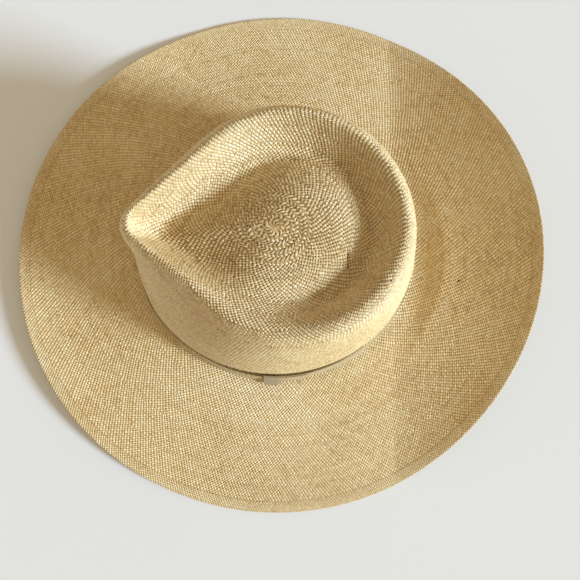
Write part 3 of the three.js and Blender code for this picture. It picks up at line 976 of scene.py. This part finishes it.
def welt_ring(name, offset, height, bore, cloth):
    """The folded tape round the reed, open above where it is sewn to the sweatband."""
    angles = np.linspace(0, TURN, 360, endpoint=False)
    mouth = math.radians(50)
    turn = np.linspace(math.pi / 2 - mouth, mouth - 3 * math.pi / 2, 14)
    outer = [(bore + cloth, k) for k in turn]
    inner = [(bore, k) for k in turn[::-1]]
    points = [
        lining_points(angles, offset - size * math.cos(k), height + size * math.sin(k))
        for size, k in outer + inner
    ]
    return grid_piece(name, np.stack(points, axis=1))


def stitches(name, offset, height):
    """A row of running stitches, each a short slanting loop that dips into the leather."""
    middle = ellipse_radius(np.zeros(1))[0] + ellipse_radius(np.full(1, math.pi / 2))[0]
    count = int(math.pi * middle / STITCH_PITCH)
    turn = np.linspace(0, TURN, 6, endpoint=False)
    along = np.linspace(-1, 1, 7)
    meshes = []
    centres = TURN * (np.arange(count) + 0.1 * RANDOM.standard_normal(count)) / count
    for centre in centres:
        here = centre + along * STITCH_LENGTH / 2 / (middle / 2)
        depth = STITCH_DIP * along**4
        size = THREAD / 2 * (1 - 0.35 * along**4)
        base = lining_points(here, offset + STITCH_STAND - depth, height)
        out = np.stack([np.cos(here), np.sin(here), np.zeros(len(here))], axis=-1)
        up = np.array([0, 0, 1])
        rings = [
            base + size[:, None] * (math.cos(k) * out + math.sin(k) * up)
            + along[:, None] * STITCH_SLANT * up
            for k in turn
        ]
        meshes.append(np.stack(rings, axis=1))
    return joined_grids(name, meshes)


def joined_grids(name, grids):
    """One piece from many small closed tubes."""
    points, faces = [], []
    rows, columns = grids[0].shape[:2]
    for number, grid in enumerate(grids):
        base = number * rows * columns
        points += grid.reshape(-1, 3).tolist()
        for i in range(rows - 1):
            for j in range(columns):
                k = (j + 1) % columns
                a, b = base + i * columns, base + (i + 1) * columns
                faces.append((a + j, a + k, b + k, b + j))
        faces.append(tuple(base + j for j in reversed(range(columns))))
        faces.append(tuple(base + (rows - 1) * columns + j for j in range(columns)))
    mesh = bpy.data.meshes.new(name)
    mesh.from_pydata(points, [], faces)
    mesh.polygons.foreach_set("use_smooth", np.ones(len(faces), dtype=bool))
    mesh.uv_layers.new(name="weave")
    face_outwards(mesh)
    return linked(name, mesh)


def leather_material(name, pale, mid, deep):
    """Tan leather: fine grain, soft blotches, and a little polish."""
    n = Nodes(name)
    at = n.place()
    grain = n.add("ShaderNodeTexVoronoi", feature="F1")
    n.plug(at, grain.inputs["Vector"])
    grain.inputs["Scale"].default_value = 1300
    cell = grain.outputs["Distance"]
    cloud = n.noise(at, 45, detail=4.0)
    fine = n.noise(at, 2600, detail=2.0)
    crease = n.noise(at, 260, detail=4.0, roughness=0.7)
    mixed = n.total((cell, -0.35), (cloud, 0.55), (n.centred(crease), 0.3), start=0.45)
    color = n.ramp(mixed, [(0.3, deep), (0.55, mid), (0.85, pale)])
    roughness = n.math("MULTIPLY_ADD", crease, 0.3, 0.3)
    height = n.math("MULTIPLY_ADD", crease, 1.2, n.math("MULTIPLY", cell, -1.0))
    n.bump(n.math("MULTIPLY_ADD", fine, 0.25, height), 0.12 * MM, 0.8)
    return n.finish(color, roughness, specular=0.45)


def plastic_material(name, color, roughness):
    n = Nodes(name)
    wear = n.noise(n.place(), 900, detail=3.0)
    tint = n.noise(n.place(), 25, detail=2.0)
    shade = n.ramp(tint, [(0.3, tuple(0.9 * c for c in color)), (0.7, color)])
    n.bump(wear, 0.03 * MM, 0.4)
    n.shader.inputs["Subsurface Weight"].default_value = 0.15
    n.shader.inputs["Subsurface Radius"].default_value = (0.001, 0.001, 0.001)
    return n.finish(shade, n.math("MULTIPLY_ADD", wear, 0.2, roughness), specular=0.5)


leather = leather_material(
    "leather", linear(198, 150, 98), linear(168, 118, 70), linear(128, 82, 44)
)
tape_leather = leather_material(
    "tape_leather", linear(168, 118, 74), linear(138, 90, 52), linear(100, 62, 34)
)
welt_cloth = cloth_material(
    "welt", linear(122, 88, 58), linear(78, 52, 32), 0.7 * MM, roughness=0.85
)
thread_cloth = cloth_material(
    "thread", linear(232, 218, 184), linear(196, 178, 138), 0.5 * MM, roughness=0.6
)
tab_cloth = cloth_material("tab", linear(240, 234, 218), linear(206, 198, 178), 0.5 * MM)
reed_plastic = plastic_material("reed", linear(232, 226, 208), 0.25)

ALL_ROUND = np.linspace(0, TURN, 400, endpoint=False)
BACK = math.pi / 2


def patch_angles(centre, width, steps=24):
    half = width / 2 / HALF_LENGTH
    return np.linspace(centre - half, centre + half, steps)


sweatband = lining_band(
    "sweatband_leather", ALL_ROUND, LINING_CLEARANCE, TRIM_OFFSET, SWEAT_FOOT, SWEAT_TOP, rows=14
)
attach(sweatband, "sweatband", leather)
sharpen(sweatband)
REED_RADIUS = (reed_high[2] - reed_low[2]) / 2
REED_HEIGHT = (reed_high[2] + reed_low[2]) / 2
REED_OFFSET = HALF_WIDTH - (reed_high[0] - REED_RADIUS)
reed = tube_ring("reed_ring", REED_OFFSET, REED_HEIGHT, ROD_RADIUS, sides=10)
attach(reed, "sweatband_reed", reed_plastic)
welt = welt_ring("welt_tape", REED_OFFSET, REED_HEIGHT, WELT_BORE, WELT_CLOTH)
attach(welt, "sweatband_welt", welt_cloth)
thread = stitches("foot_stitches", TRIM_OFFSET, STITCH_HEIGHT)
attach(thread, "sweatband_thread", thread_cloth)
tape = lining_band(
    "rear_seam_tape", patch_angles(BACK, 12 * MM), TRIM_OFFSET, TRIM_OFFSET + 0.7 * MM,
    17 * MM, 33 * MM, rows=12, closed=False,
)
attach(tape, "sweatband_seam_tape", tape_leather)
sharpen(tape)
tab = lining_band(
    "blank_tab", patch_angles(math.radians(110), 20 * MM), TRIM_OFFSET, TRIM_OFFSET + 0.45 * MM,
    19 * MM, 32 * MM, rows=12, closed=False, bulge=0.3 * MM,
)
attach(tab, "size_tab", tab_cloth)
sharpen(tab)

# ---------------------------------------------------------------- stage, light and camera

def pale_floor():
    bpy.ops.mesh.primitive_plane_add(size=40, location=(0, 0, -0.5 * MM))
    plane = bpy.context.object
    plane.name = "floor"
    table = Nodes("table").finish((0.81, 0.805, 0.815, 1), 0.6, specular=0.3)
    plane.data.materials.append(table)
    return plane


def window_light():
    """A broad low light, as from a window."""
    window = bpy.data.lights.new("window", "SUN")
    window.energy = 4.65
    window.angle = math.radians(14)
    window.color = (0.67, 0.825, 0.98)
    sun = linked("window", window)
    sun.rotation_euler = Vector((-0.40, -1.0, -0.47)).to_track_quat("-Z", "Y").to_euler()


def room_light():
    """Soft light from all round: pale at the horizon and warm above."""
    world = bpy.data.worlds.new("room")
    world.use_nodes = True
    sky = world.node_tree
    direction = sky.nodes.new("ShaderNodeTexCoord")
    upward = sky.nodes.new("ShaderNodeSeparateXYZ")
    height_ramp = sky.nodes.new("ShaderNodeValToRGB")
    stops = ((0.14, (0.6, 0.59, 0.56, 1)), (0.3, (0.55, 0.464, 0.322, 1)))
    for element, (position, color) in zip(height_ramp.color_ramp.elements, stops):
        element.position = position
        element.color = color
    sky.links.new(direction.outputs["Generated"], upward.inputs[0])
    sky.links.new(upward.outputs["Z"], height_ramp.inputs[0])
    sky.links.new(height_ramp.outputs[0], sky.nodes["Background"].inputs[0])
    bpy.context.scene.world = world


def camera_from(place, target, angle):
    """Looks from a place to a target, with the hat's -X side upwards in the picture."""
    lens = bpy.data.cameras.new("camera")
    lens.sensor_width = 36
    lens.angle = math.radians(angle)
    camera = linked("camera", lens)
    camera.location = place
    look = (Vector(target) - camera.location).normalized()
    side = look.cross(Vector((-1, 0, 0))).normalized()
    camera.rotation_euler = Matrix((side, side.cross(look), -look)).transposed().to_euler()
    bpy.context.scene.camera = camera


floor = pale_floor()
window_light()
room_light()
camera_from((0.0994, 0.00902, 0.5933), (0.02557, 0.01127, 0), 40)
bpy.context.scene.view_settings.view_transform = "Standard"
